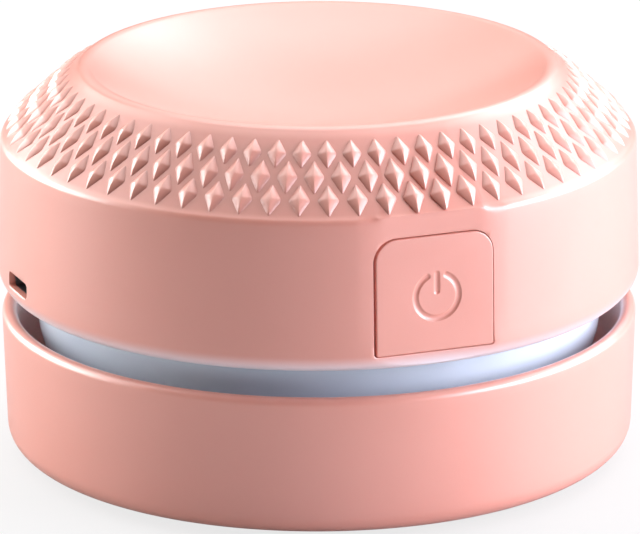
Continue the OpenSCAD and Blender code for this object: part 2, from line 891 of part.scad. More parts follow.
// Backward-swept blade: an arc from the hub's side out to the rim
module blade_outline() {
    inner_r = 9;
    tip_in = 0.3;
    arc_r = fan_d / 2 * 0.54;
    arc_centre = fan_d / 2 * 0.58;
    intersection() {
        translate([arc_centre, 0]) ring(arc_r + blade_t / 2, arc_r - blade_t / 2);
        ring(fan_d / 2 - tip_in, inner_r);
        translate([-body_r, 0]) square([2 * body_r, body_r]);
    }
}

module impeller() {
    hub_r = 4;
    hub_in = 1.4;
    color([0.9, 0.9, 0.92])
        difference() {
            union() {
                translate([0, 0, disc_z]) cylinder(d = fan_d, h = disc_t);
                translate([0, 0, blade_z + hub_in])
                    cylinder(r = hub_r, h = blade_h - hub_in + disc_t + hub_over);
                translate([0, 0, blade_z])
                    linear_extrude(blade_h + eps)
                        for (i = [0 : blade_count - 1])
                            rotate(360 / blade_count * i) blade_outline();
            }
            cylinder(d = shaft_d, h = top_z);
        }
}

module motor_shaft() {
    color(steel)
        translate([0, 0, shaft_z]) cylinder(d = shaft_d, h = shaft_top - shaft_z);
}

// ---- Assembly -------------------------------------------------------------

base_cup();
dust_bowl();
brush_front();
brush_right();
brush_back();
brush_left();
feet();
base_screws();
top_housing();
chassis_plate();
seal_ring();
filter_frame();
filter_mesh();
motor_mount();
motor_can();
motor_end_cap();
motor_screws();
housing_screws();
battery_cell();
charging_board();
charging_socket();
socket_tongue();
switch_board();
switch_body();
power_button();
switch_plunger();
impeller();
motor_shaft();
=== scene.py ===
"""The looks of a desktop mini vacuum cleaner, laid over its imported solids.

Sizes are in millimetres and are turned to metres by MM. The front is -Y, the height is Z,
and an azimuth runs from the front towards +X, so its point is (r sin a, -r cos a).
Outlines are drawn as (r, z): the distance from the body's axis and the height.
"""
import json
import math

import bmesh
import bpy
from mathutils import Matrix, Vector


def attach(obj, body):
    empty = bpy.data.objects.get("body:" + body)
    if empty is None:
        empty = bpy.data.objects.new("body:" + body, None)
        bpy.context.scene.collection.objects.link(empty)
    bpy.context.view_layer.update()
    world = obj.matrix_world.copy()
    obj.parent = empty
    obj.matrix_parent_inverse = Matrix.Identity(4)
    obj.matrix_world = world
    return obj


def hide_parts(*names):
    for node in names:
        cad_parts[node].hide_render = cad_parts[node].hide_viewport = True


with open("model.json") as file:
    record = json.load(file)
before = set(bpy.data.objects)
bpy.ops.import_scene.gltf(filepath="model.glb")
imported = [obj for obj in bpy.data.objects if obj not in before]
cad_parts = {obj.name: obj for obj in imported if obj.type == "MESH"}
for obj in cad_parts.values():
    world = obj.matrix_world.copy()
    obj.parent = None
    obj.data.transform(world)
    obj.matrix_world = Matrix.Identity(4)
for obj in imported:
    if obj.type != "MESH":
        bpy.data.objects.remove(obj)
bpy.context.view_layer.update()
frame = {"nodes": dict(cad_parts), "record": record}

MM = 0.001
TOUCHING = 0.0005 * MM          # points that are nearer to each other become one
COLUMNS = 480                   # steps round the large turned pieces

# Housing
HOUSING_Z = 23.3                # its lower edge
CREASE = (42.4, 43.4)           # corner between the wall and the shoulder
SLOPE_END = (32.01, 52.60)      # where the shoulder runs into the lip
LIP_CENTRE = (30.95, 51.40)
LIP_TURN = 72.9                 # how far the lip turns, in degrees
DISH_CENTRE_Z = 102.79          # centre of the spheres of the dish and of its inner face
DISH_Z = 44.40                  # lowest point of the dish
DISH_TURN = 31.05               # from the axis to the lip, in degrees
CEILING_Z = 42.20               # the inner face below the dish
CEILING_TURN = 30.64
INNER_WALL = ((40.23, 42.38), (40.80, 26.40), (40.00, 25.60))  # down to where it steps in above the hem
SLOPE_ANGLE = 41.5
WALL_LEAN = 0.02985             # draft of the wall, in radians
WALL_LEAN_DEGREES = math.degrees(WALL_LEAN)
POST_AZIMUTHS = (-110, -20, 62, 110)
POST_RING_R = 31.075

# Knurl
DIAMONDS = 68                   # in a row
KNURL_AZIMUTH = 1.8
DIAMOND_FOOT = -0.16            # its foot lies below the shoulder
DIAMOND_CORNER = 0.34
# How a diamond rises to its ridge: width and length of each ring against the lowest, and its height
DIAMOND_RINGS = ((0.99, 0.99, -0.05), (0.90, 0.93, 0.06), (0.71, 0.80, 0.20), (0.46, 0.60, 0.37),
                 (0.22, 0.40, 0.50), (0.06, 0.22, 0.55))
DIAMOND_TIP = 0.01              # over the last ring
# The rows: name, r and z of their middle, width and length of a diamond, half steps the row is turned by
KNURL_ROWS = (("row_low", 39.89, 45.62, 2.95, 5.2, 0),
              ("row_middle", 37.27, 47.94, 2.85, 5.5, 1),
              ("row_top", 34.65, 50.26, 2.7, 4.7, 0))

# Power button
FLAT_R = 42.12                  # the flat's distance from the axis at the housing's lower edge
# Where the border of the flat is softened
BORDER_ACROSS = (7.4, 9.9)      # from and to, on both sides of the flat's middle
BORDER_Z = (26.6, 43.9)
BORDER_R = 41.0                 # beyond this radius
BUTTON_AZIMUTH = 20.6
BUTTON_LOW = 25.6
BUTTON_HIGH = 40.6
BUTTON_GAP = 0.25
SIGN_Z = 32.7
# Half the section of the sign's groove: distance from its middle, and height over the face
GROOVE = ((0.13, -0.215), (0.25, -0.165), (0.34, -0.09), (0.43, -0.02), (0.62, 0.08))
GROOVE_FLOOR = -0.23
GROOVE_REACH = 0.62
GROOVE_TOP = 0.4                # the tools end above the face

# Charging port
PORT_AZIMUTH = -68.0
PORT_Z = 27.0
PORT_HALF_HEIGHT = 1.05
PORT_HALF_WIDTH = 3.5
PORT_POCKET = 0.4               # how much wider the pocket behind the wall is on each side

# Base
RIM_CENTRE_Z = 18.9
SCREW_AZIMUTHS = (45, 135, 225, 315)
SCREW_RING_R = 28.0

# Colours
WHITE = (1, 1, 1)
BLACK = (0, 0, 0)
PINK_LIGHT = (0.86, 0.36, 0.285)
PINK_DEEP = (0.84, 0.345, 0.27)
# Painted shade for the valleys between the diamonds of the knurl
PINK_VALLEY_SHADE = (0.68, 0.235, 0.175)
PINK_ROUGHNESS = 0.38
PINK_GLOSS = {"IOR": 1.7, "Coat_Weight": 0.9, "Coat_Roughness": 0.34, "Coat_IOR": 1.65,
              "Subsurface_Weight": 0.12, "Subsurface_Radius": (1.0, 0.6, 0.5), "Subsurface_Scale": 0.003}
HEM_PAINTED_REFLECTION = (0.86, 0.78, 0.83)   # painted reflection of the bright floor on the housing's hem, over the frosted ring
PAINTED_REFLECTION_TOP = 2.5                   # how far up the hem the painted reflection reaches
INNER_PAINTED_LIGHT = (0.97, 0.70, 0.64)  # painted light on the cup's inner wall, which lies in shade
FROSTED_ROUGHNESS = 0.42
FROSTED_GLOSS = {"IOR": 1.7, "Coat_Weight": 0.8, "Coat_Roughness": 0.2}
MOULD_GRAIN = 0.000012          # depth of the mould texture, in metres


# ---- Modelling by hand -------------------------------------------------------

def outward(azimuth):
    """The direction away from the axis at that azimuth."""
    return Vector((math.sin(math.radians(azimuth)), -math.cos(math.radians(azimuth)), 0))


def quarter_turn(steps):
    """The angles that part a quarter turn into steps, as pairs."""
    angles = [math.radians(90 / steps * k) for k in range(steps + 1)]
    return zip(angles, angles[1:])


def choose(piece, *others):
    """Selects these pieces alone. The first becomes the active one."""
    bpy.ops.object.select_all(action="DESELECT")
    for one in (piece, *others):
        one.select_set(True)
    bpy.context.view_layer.objects.active = piece


def edit(piece):
    """Starts the edit of one piece."""
    if bpy.context.mode != "OBJECT":
        bpy.ops.object.mode_set(mode="OBJECT")
    choose(piece)
    bpy.ops.object.mode_set(mode="EDIT")


def leave(piece, name, angle=30):
    """Ends the edit, names the piece and shades it smooth up to that angle."""
    bpy.ops.object.mode_set(mode="OBJECT")
    piece.name = piece.data.name = name
    bpy.ops.object.shade_smooth_by_angle(angle=math.radians(angle))
    return piece


def take_all():
    bpy.ops.mesh.select_all(action="SELECT")


def face_outwards():
    """Turns all faces of the edited piece outwards."""
    take_all()
    bpy.ops.mesh.normals_make_consistent(inside=False)


def pick_points(piece, wanted):
    """Selects the points for which wanted(place in mm) is true."""
    mesh = bmesh.from_edit_mesh(piece.data)
    for point in mesh.verts:
        point.select_set(wanted(point.co / MM))
    mesh.select_flush(True)
    bmesh.update_edit_mesh(piece.data)


def move(x, y, z):
    bpy.ops.transform.translate(value=(x * MM, y * MM, z * MM))


def raise_faces(x, y, z):
    """Extrudes the selected faces and moves them."""
    bpy.ops.mesh.extrude_region_move(TRANSFORM_OT_translate={"value": (x * MM, y * MM, z * MM)})


def push(depth):
    """Extrudes the selected face towards the front by depth."""
    raise_faces(0, -depth, 0)


def inset(thickness, depth):
    bpy.ops.mesh.inset(thickness=thickness * MM, depth=depth * MM)


def swing(azimuth):
    """Turns what is selected about the body's axis, from the front towards +X."""
    bpy.ops.transform.rotate(value=-math.radians(azimuth), orient_axis="Z", center_override=(0, 0, 0))


def lean_back(degrees, centre=(0, 0, 0)):
    """Turns what is selected about X, the top towards the back."""
    bpy.ops.transform.rotate(value=math.radians(degrees), orient_axis="X",
                             center_override=[c * MM for c in centre])


def apply_all(piece):
    choose(piece)
    for modifier in list(piece.modifiers):
        bpy.ops.object.modifier_apply(modifier=modifier.name)


def join(piece, *others):
    choose(piece, *others)
    bpy.ops.object.join()
    return piece


def cut(piece, tool, use_self=False):
    """Cuts the tool out of the piece, puts the tool away and clears faces without area."""
    modifier = piece.modifiers.new("cut", "BOOLEAN")
    modifier.operation = "DIFFERENCE"
    modifier.solver = "EXACT"
    modifier.use_self = use_self
    modifier.object = tool
    apply_all(piece)
    bpy.data.objects.remove(tool)
    edit(piece)
    take_all()
    bpy.ops.mesh.dissolve_degenerate(threshold=TOUCHING)
    bpy.ops.mesh.remove_doubles(threshold=TOUCHING)
    bpy.ops.object.mode_set(mode="OBJECT")


class Turning:
    """A turned piece: half its outline is drawn point by point in the x-z plane, then spun about the axis."""

    def __init__(self, r, z):
        bpy.ops.object.select_all(action="DESELECT")
        bpy.ops.mesh.primitive_plane_add(size=MM)
        self.piece = bpy.context.object
        bpy.ops.object.mode_set(mode="EDIT")
        bpy.ops.mesh.merge(type="CENTER")
        move(r, 0, z)
        self.at = Vector((r, z))

    def line(self, r, z, steps=1):
        step = (Vector((r, z)) - self.at) / steps
        for _ in range(steps):
            bpy.ops.mesh.extrude_vertices_move(
                TRANSFORM_OT_translate={"value": (step.x * MM, 0, step.y * MM)})
        self.at = Vector((r, z))

    def arc(self, r, z, degrees, steps):
        """Swings the last point about (r, z), counterclockwise as seen from the front."""
        bpy.ops.mesh.spin(steps=steps, angle=math.radians(degrees),
                          center=(r * MM, 0, z * MM), axis=(0, 1, 0))
        centre = Vector((r, z))
        self.at = centre + Matrix.Rotation(math.radians(degrees), 2) @ (self.at - centre)

    def corners(self, *corners, fineness=8):
        """Lines through corners (r, z, rounding, steps of the line to it). The last one isn't rounded.

        A rounding gets one step for each fineness degrees of its turn.
        """
        for index, (r, z, rounding, steps) in enumerate(corners):
            here = Vector((r, z))
            if rounding:
                into = (here - self.at).normalized()
                onward = (Vector(corners[index + 1][:2]) - here).normalized()
                turn = math.atan2(into.x * onward.y - into.y * onward.x, into.dot(onward))
                back = rounding * math.tan(abs(turn) / 2)
                start = here - into * back
                side = Vector((-into.y, into.x)) * math.copysign(rounding, turn)
                self.line(start.x, start.y, steps)
                centre = start + side
                self.arc(centre.x, centre.y, math.degrees(turn),
                         max(2, round(abs(math.degrees(turn)) / fineness)))
            else:
                self.line(r, z, steps)

    def turn(self, name, columns=COLUMNS, angle=30):
        """Turns the outline once round the axis and closes it."""
        take_all()
        bpy.ops.mesh.remove_doubles(threshold=TOUCHING)
        bpy.ops.object.mode_set(mode="OBJECT")
        lathe = self.piece.modifiers.new("lathe", "SCREW")
        lathe.steps = lathe.render_steps = columns
        lathe.use_merge_vertices = True
        lathe.merge_threshold = TOUCHING
        apply_all(self.piece)
        edit(self.piece)
        face_outwards()
        return leave(self.piece, name, angle)


def stud(r, low, high, bore=0.0, bore_top=0.0, columns=48):
    """A round post, with a blind bore from below where one is asked for."""
    post = Turning(0.0, bore_top if bore else low)
    if bore:
        post.line(bore, bore_top)
        post.line(bore, low)
    post.line(r, low)
    post.line(r, high)
    post.line(0.0, high)
    return post.turn("stud", columns)


def at_azimuths(piece, azimuths, r):
    """Copies a piece that stands on the axis to each azimuth at that radius, as one piece."""
    copies = []
    for azimuth in azimuths:
        copy = piece.copy()
        copy.data = piece.data.copy()
        bpy.context.collection.objects.link(copy)
        edit(copy)
        take_all()
        move(*(outward(azimuth) * r))
        bpy.ops.object.mode_set(mode="OBJECT")
        copies.append(copy)
    bpy.data.objects.remove(piece)
    return join(*copies)


def plate_on_wall(low, high, half_width, low_round, high_round):
    """A face with rounded corners in the x-z plane at y = 0, that looks to the front and is left in edit mode."""
    bpy.ops.object.select_all(action="DESELECT")
    bpy.ops.mesh.primitive_plane_add(size=2 * MM, rotation=(math.radians(90), 0, 0))
    piece = bpy.context.object
    bpy.ops.object.transform_apply(location=True, rotation=True, scale=True)
    edit(piece)
    take_all()
    bpy.ops.transform.resize(value=(half_width, 1, (high - low) / 2))
    move(0, 0, (high + low) / 2)
    for is_low, rounding in ((True, low_round), (False, high_round)):
        bpy.ops.mesh.select_all(action="DESELECT")
        pick_points(piece, lambda p: (p.z < (low + high) / 2) == is_low)
        bpy.ops.mesh.bevel(offset=rounding * MM, segments=max(3, round(rounding * 4)), affect="VERTICES")
    take_all()
    return piece


def stand_at(piece, azimuth, r, lean=0.0):
    """Moves a piece made at the axis out to the wall, leans it with the wall and swings it round."""
    take_all()
    if lean:
        lean_back(lean, (0, 0, HOUSING_Z))
    move(0, -r, 0)
    swing(azimuth)
    face_outwards()
    bpy.ops.object.mode_set(mode="OBJECT")
    return piece


def lay_on_wall(piece, along, height, r, lean=0.0):
    """Turns a piece made round the z axis to the front and stands it at the button, along and up the wall."""
    edit(piece)
    take_all()
    lean_back(-90)
    move(along, 0, height)
    return stand_at(piece, BUTTON_AZIMUTH, r, lean)


# ---- Housing -----------------------------------------------------------------

def diamond_row(name, r, z, width, length, azimuth):
    """One row of soft diamonds round the shoulder: one is raised ring by ring, then copied round."""
    bpy.ops.object.select_all(action="DESELECT")
    bpy.ops.mesh.primitive_circle_add(vertices=4, radius=MM, fill_type="NGON")
    piece = bpy.context.object
    bpy.ops.object.mode_set(mode="EDIT")
    bpy.ops.transform.resize(value=(width / 2, length / 2, 1))
    bpy.ops.mesh.bevel(offset=DIAMOND_CORNER * MM, segments=3, affect="VERTICES")
    take_all()
    move(0, 0, DIAMOND_FOOT)
    across, along, height = 1.0, 1.0, DIAMOND_FOOT
    for wide, long, rise in DIAMOND_RINGS:
        raise_faces(0, 0, rise - height)
        bpy.ops.transform.resize(value=(wide / across, long / along, 1), center_override=(0, 0, 0))
        across, along, height = wide, long, rise
    bpy.ops.mesh.merge(type="CENTER")
    move(0, 0, DIAMOND_TIP)
    take_all()
    lean_back(-SLOPE_ANGLE)
    move(0, -r, z)
    swing(azimuth)
    take_all()
    bpy.ops.mesh.spin(steps=DIAMONDS - 1, dupli=True, angle=math.radians(360 * (DIAMONDS - 1) / DIAMONDS),
                      center=(0, 0, 0), axis=(0, 0, 1))
    face_outwards()
    return leave(piece, name, 50)


def wall_cutter(low, high, half_width, low_round, high_round, azimuth, face_r, depth, lip, lean=0.0):
    """A tool for an opening in the wall, flared at its mouth so that the edge it leaves is rounded by lip."""
    margin = 0.1
    flare = lip + margin
    piece = plate_on_wall(low - flare, high + flare, half_width + flare, low_round + flare, high_round + flare)
    # The tool reaches from 0.9 mm in front of the wall to just before it, where the flare starts
    bpy.ops.mesh.flip_normals()
    move(0, -0.9, 0)
    push(-0.88)
    for a, b in quarter_turn(4):
        start = margin if a == 0 else 0.0
        inset(lip * (math.sin(b) - math.sin(a)) + start, lip * (math.cos(a) - math.cos(b)) + start / 5)
    push(-depth)
    return stand_at(piece, azimuth, face_r, lean)


def smooth_flat(piece):
    """Presses the wall flat round the button, in a plane that leans with the wall, and softens the border."""
    out = outward(BUTTON_AZIMUTH)
    normal = (out + Vector((0, 0, WALL_LEAN))).normalized()
    foot = out * FLAT_R + Vector((0, 0, HOUSING_Z))
    side = Vector((0, 0, 1)).cross(normal).normalized()
    turn = Matrix((side, normal.cross(side), normal)).transposed()
    edit(piece)
    pick_points(piece, lambda p: p.z > HOUSING_Z - 1 and (p - foot).dot(normal) > 0)
    bpy.ops.transform.resize(value=(1, 1, 0), orient_type="GLOBAL", orient_matrix=turn,
                             orient_matrix_type="GLOBAL", center_override=foot * MM)

    def near_border(p):
        """Whether the point is on the outer wall, where the round wall comes through the plane."""
        return (p.dot(out) > 0 and p.to_2d().length > BORDER_R and BORDER_Z[0] < p.z < BORDER_Z[1]
                and BORDER_ACROSS[0] < abs(side.dot(p)) < BORDER_ACROSS[1])

    for _ in range(6):
        pick_points(piece, near_border)
        bpy.ops.mesh.vertices_smooth(factor=0.5, repeat=4)
    bpy.ops.object.mode_set(mode="OBJECT")


def housing_shell():
    """The moulded housing: dished top, rounded lip, shoulder, crease, drafted wall and hem."""
    shell = Turning(0.0, CEILING_Z)
    shell.arc(0.0, DISH_CENTRE_Z, CEILING_TURN, 20)
    for r, z in INNER_WALL:
        shell.line(r, z)
    # Round the hem, up the outer wall, over the crease and the shoulder, round the lip and into the dish
    shell.corners((40.00, HOUSING_Z, 0.12, 1), (43.00, HOUSING_Z, 2.3, 1), (*CREASE, 1.2, 16), (*SLOPE_END, 0, 1),
                  fineness=5)
    shell.arc(*LIP_CENTRE, LIP_TURN, 14)
    shell.arc(0.0, DISH_CENTRE_Z, -DISH_TURN, 40)
    shell.line(0.0, DISH_Z)
    piece = shell.turn("housing_shell")
    smooth_flat(piece)
    return piece


def housing():
    """The housing with its button opening, charging port, screw posts and knurl."""
    shell = housing_shell()
    cut(shell, wall_cutter(BUTTON_LOW - BUTTON_GAP, BUTTON_HIGH + BUTTON_GAP, half_width=8.25,
                           low_round=0.4, high_round=3.05, azimuth=BUTTON_AZIMUTH, face_r=FLAT_R,
                           depth=4.5, lip=0.12, lean=WALL_LEAN_DEGREES))
    # The port's mouth in the wall, then the wider pocket behind it
    for wider, corner, face_r, lip in ((0.0, 0.52, 42.86, 0.18), (PORT_POCKET, 0.6, 41.0, 0.05)):
        half_height = PORT_HALF_HEIGHT + wider
        cut(shell, wall_cutter(PORT_Z - half_height, PORT_Z + half_height, half_width=PORT_HALF_WIDTH + wider,
                               low_round=corner, high_round=corner, azimuth=PORT_AZIMUTH, face_r=face_r,
                               depth=3.0, lip=lip))
    posts = at_azimuths(stud(r=3.0, low=30.1, high=49.3, bore=0.85, bore_top=37.1), POST_AZIMUTHS, POST_RING_R)
    rows = [diamond_row(name, r, z, width, length, KNURL_AZIMUTH + half_steps * 180 / DIAMONDS)
            for name, r, z, width, length, half_steps in KNURL_ROWS]
    join(shell, posts, *rows)
    edit(shell)
    return leave(shell, "housing_shell", 40)


# ---- Power button ------------------------------------------------------------

def groove_outline(tool, r):
    """Half the section of the groove, drawn from its middle at r outwards."""
    for across, height in GROOVE:
        tool.line(r + across, height)


def groove_end():
    """A dimple with the groove's section, which rounds off its ends."""
    tool = Turning(0.0, GROOVE_FLOOR)
    groove_outline(tool, 0.0)
    tool.line(GROOVE_REACH, GROOVE_TOP)
    tool.line(0.0, GROOVE_TOP)
    return tool.turn("groove_end", 24)


def groove_section(r):
    """The closed section of the groove about radius r, as a face in edit mode."""
    tool = Turning(r - GROOVE_REACH, GROOVE_TOP)
    for across, height in reversed(GROOVE):
        tool.line(r - across, height)
    tool.line(r, GROOVE_FLOOR)
    groove_outline(tool, r)
    tool.line(r + GROOVE_REACH, GROOVE_TOP)
    tool.line(r - GROOVE_REACH, GROOVE_TOP)
    take_all()
    bpy.ops.mesh.remove_doubles(threshold=TOUCHING)
    take_all()
    bpy.ops.mesh.edge_face_add()
    return tool.piece


def power_sign():
    """The tool for the sunk power sign: an open ring and a bar, with rounded ends."""
    r, half_opening, along = 2.95, 26.0, 0.4
    bar_low, bar_length, bar_high = 0.6, 2.3, 2.9

    def on_face(piece, sideways, height):
        return lay_on_wall(piece, sideways, height, FLAT_R, WALL_LEAN_DEGREES)

    ring = groove_section(r)
    take_all()
    bpy.ops.mesh.spin(steps=60, angle=math.radians(360 - 2 * half_opening), center=(0, 0, 0), axis=(0, 0, 1))
    face_outwards()
    swing(90 - half_opening)
    bpy.ops.object.mode_set(mode="OBJECT")
    sign = [on_face(ring, along, SIGN_Z)]
    angle = math.radians(half_opening)
    for side in (-1, 1):
        sign.append(on_face(groove_end(), along + side * r * math.sin(angle), SIGN_Z + r * math.cos(angle)))
    bar = groove_section(0.0)
    take_all()
    raise_faces(0, bar_length, 0)
    face_outwards()
    bpy.ops.object.mode_set(mode="OBJECT")
    sign.append(on_face(bar, along, SIGN_Z + bar_low))
    for height in (bar_low, bar_high):
        sign.append(on_face(groove_end(), along, SIGN_Z + height))
    return join(*sign)


def power_button():
    """The button: a cap with rounded edges and a sunk power sign, a leaf behind the wall, and a stem."""
    depth, edge, aside = 3.3, 0.2, 0.14
    cap = plate_on_wall(BUTTON_LOW - 0.2, BUTTON_HIGH + 0.1, half_width=8.04, low_round=0.3, high_round=2.85)
    # The gap is wider at the left of the cap than at its right
    move(aside, depth, 0)
    push(depth - edge)
    for a, b in quarter_turn(6):
        inset(edge * (math.cos(a) - math.cos(b)), edge * (math.sin(b) - math.sin(a)))
    stand_at(cap, BUTTON_AZIMUTH, FLAT_R, WALL_LEAN_DEGREES)
    cut(cap, power_sign(), use_self=True)
    leaf = plate_on_wall(low=26.9, high=40.6, half_width=9.0, low_round=0.6, high_round=0.6)
    push(0.8)
    inset(0.1, 0.1)
    stand_at(leaf, BUTTON_AZIMUTH, r=38.08)
    stem = lay_on_wall(stud(r=2.4, low=0.0, high=1.0, columns=36), along=0, height=SIGN_Z, r=37.78)
    join(cap, leaf, stem)
    edit(cap)
    return leave(cap, "button_cap", 16)


# ---- Base --------------------------------------------------------------------

def base_cup():
    """The base: a cup with a full-round rim, a rounded foot and a raised channel for the brushes."""
    inlet_r, under_z, floor_z, raised_z = 9.35, 1.0, 3.4, 5.7
    channel, channel_z, raised_r = (11.5, 15.7), 4.6, 16.8
    cup = Turning(inlet_r, 1.15)
    cup.corners((inlet_r, under_z, 0.1, 1), (channel[0], under_z, 0.1, 1), (channel[0], channel_z, 0, 1),
                (channel[1], channel_z, 0, 1), (channel[1], under_z, 0.1, 1),
                (42.05, under_z, 3.0, 1), (42.6, RIM_CENTRE_Z, 0, 12), fineness=6)
    cup.arc(41.6, RIM_CENTRE_Z, 180, 24)
    cup.corners((40.05, floor_z, 2.0, 12), (raised_r, floor_z, 0.3, 1), (raised_r, raised_z, 0.2, 1),
                (inlet_r, raised_z, 0.2, 1), (inlet_r, 1.15, 0, 1), fineness=6)
    piece = cup.turn("cup_shell", angle=40)
    # A stepped hole for each screw, wide for its head and narrow for its thread
    head_r, thread_r, step_z, top_z = 2.1, 1.2, 2.3, 6.5
    hole = Turning(0.0, 0.0)
    for r, z in ((head_r, 0.0), (head_r, step_z), (thread_r, step_z), (thread_r, top_z), (0.0, top_z)):
        hole.line(r, z)
    cut(piece, at_azimuths(hole.turn("screw_hole", 32), SCREW_AZIMUTHS, SCREW_RING_R))
    edit(piece)
    return leave(piece, "cup_shell", 40)


def dust_bowl():
    """The frosted dust bowl with its suction tube and screw bosses."""
    bore_r, tube_r, tube_low_z, tube_high_z = 8.0, 9.2, 1.2, 13.5
    under_z, floor_z, shoulder_z, rim_z = 6.0, 7.4, 17.4, 22.6
    outer_r, inner_r = 37.7, 36.3
    bowl = Turning(bore_r, 1.4)
    bowl.corners((bore_r, tube_low_z, 0.15, 1), (tube_r, tube_low_z, 0.15, 1), (tube_r, under_z, 0.5, 1),
                 (34.2, under_z, 4.0, 1), (outer_r, shoulder_z, 6.0, 6), (outer_r, rim_z, 0.3, 3),
                 (inner_r, rim_z, 0.3, 1), (inner_r, shoulder_z, 6.0, 3), (32.8, floor_z, 2.6, 6),
                 (tube_r, floor_z, 0.5, 1), (tube_r, tube_high_z, 0.4, 1), (bore_r, tube_high_z, 0.4, 1),
                 (bore_r, 1.4, 0, 1), fineness=6)
    piece = bowl.turn("bowl_shell", columns=360, angle=40)
    bosses = at_azimuths(stud(r=2.5, low=3.4, high=6.6, bore=0.85, bore_top=6.5, columns=32),
                         SCREW_AZIMUTHS, SCREW_RING_R)
    join(piece, bosses)
    edit(piece)
    return leave(piece, "bowl_shell", 40)


# ---- Finishes ----------------------------------------------------------------

class Value:
    """A socket of a node tree. Arithmetic on it adds Math nodes."""

    def __init__(self, nodes, socket):
        self.nodes, self.socket = nodes, socket

    def maths(self, operation, first, second=0.0):
        return self.nodes.node("ShaderNodeMath", {"operation": operation}, {0: first, 1: second})

    def __add__(self, other):
        return self.maths("ADD", self, other)

    __radd__ = __add__

    def __mul__(self, other):
        return self.maths("MULTIPLY", self, other)

    def __sub__(self, other):
        return self.maths("SUBTRACT", self, other)

    def __rsub__(self, other):
        return self.maths("SUBTRACT", other, self)

    def __pow__(self, other):
        return self.maths("POWER", self, other)


class Nodes:
    """A node tree that is written as expressions on its sockets."""

    def __init__(self, tree):
        self.tree = tree
        self.tree.nodes.clear()

    def node(self, kind, settings=None, sockets=None, output=0):
        """Adds a node with its settings, feeds its sockets and gives one output, or each of several in a tuple."""
        node = self.tree.nodes.new(kind)
        for setting, wanted in (settings or {}).items():
            setattr(node, setting, wanted)
        for socket, given in (sockets or {}).items():
            self.feed(node.inputs[socket], given)
        if isinstance(output, tuple):
            return tuple(Value(self, node.outputs[one]) for one in output)
        return Value(self, node.outputs[output])

    def feed(self, socket, given):
        """Links a value to a socket, or sets the socket to a number or a colour."""
        if isinstance(given, Value):
            self.tree.links.new(given.socket, socket)
        elif isinstance(given, tuple) and len(given) == 3 and socket.type == "RGBA":
            socket.default_value = (*given, 1)
        else:
            socket.default_value = given

    def mix_shader(self, share, first, second):
        return self.node("ShaderNodeMixShader", {}, {0: share, 1: first, 2: second})


class Finish(Nodes):
    """One finish: a material with a Principled shader. Constants for its sockets are given by name."""

    def __init__(self, name, **constants):
        self.material = bpy.data.materials.new(name)
        self.material.use_nodes = True
        super().__init__(self.material.node_tree)
        self.sheen = self.tree.nodes.new("ShaderNodeBsdfPrincipled")
        for socket, number in constants.items():
            self.sheen.inputs[socket.replace("_", " ")].default_value = number
        self.end = self.tree.nodes.new("ShaderNodeOutputMaterial")
        self.tree.links.new(self.sheen.outputs[0], self.end.inputs["Surface"])
        self.place = self.node("ShaderNodeTexCoord", output="Object")

    def round_place(self):
        """The distance from the body's axis and the height, in metres."""
        x, y, z = self.node("ShaderNodeSeparateXYZ", {}, {0: self.place}, (0, 1, 2))
        return (x * x + y * y) ** 0.5, z

    def noise(self, scale, detail=2.0, stretch=None):
        place = self.place if stretch is None else self.node(
            "ShaderNodeMapping", {}, {"Vector": self.place, "Scale": stretch})
        return self.node("ShaderNodeTexNoise", {}, {"Vector": place, "Scale": scale, "Detail": detail}, "Fac")

    def blend(self, mask, first, second):
        """The first colour where the mask is 0, the second where it is 1."""
        return self.node("ShaderNodeMix", {"data_type": "RGBA"}, {0: mask, 6: first, 7: second}, 2)

    def step(self, value, low, high):
        """Rises smoothly from 0 at low to 1 at high."""
        return self.node("ShaderNodeMapRange", {"interpolation_type": "SMOOTHSTEP"},
                         {"Value": value, "From Min": low, "From Max": high})

    def bump(self, height, distance):
        return self.node("ShaderNodeBump", {}, {"Height": height, "Distance": distance, "Strength": 1.0})

    def wear(self, **sockets):
        """Feeds what varies over the surface and gives the material."""
        for socket, given in sockets.items():
            self.feed(self.sheen.inputs[socket.replace("_", " ")], given)
        return self.material

    def mould(self, roughness, grain=MOULD_GRAIN):
        """What moulded plastics share: the mask of faint flow clouds, an uneven roughness and a fine texture."""
        cloud = self.noise(scale=45.0, detail=3.0)
        grit = self.noise(scale=2600.0, detail=1.0)
        ripple = self.noise(scale=150.0)
        return (self.step(cloud, 0.35, 0.65),
                roughness + (cloud - 0.5) * 0.06 + (grit - 0.5) * 0.05,
                self.bump(grit * 0.5 + ripple, grain))


def moulded(name, light, deep, roughness, grain=MOULD_GRAIN, **constants):
    """An even injection-moulded plastic."""
    finish = Finish(name, **constants)
    cloud, rough, normal = finish.mould(roughness, grain)
    return finish.wear(Base_Color=finish.blend(cloud, deep, light), Roughness=rough, Normal=normal)


def cup_finish():
    """The coral plastic of the cup, made paler on its inner wall by painted light, as of the light the frosted
    bowl throws there.
    """
    finish = Finish("coral_cup", **PINK_GLOSS)
    cloud, rough, normal = finish.mould(PINK_ROUGHNESS)
    r, z = finish.round_place()
    # Painted light: the inner wall is paled where it lies in shade under the housing
    inside = (1 - finish.step(r, 40.7 * MM, 41.5 * MM)) * finish.step(z, 5.0 * MM, 9.0 * MM)
    coral = finish.blend(cloud, PINK_DEEP, PINK_LIGHT)
    return finish.wear(Base_Color=finish.blend(inside, coral, INNER_PAINTED_LIGHT), Roughness=rough, Normal=normal)


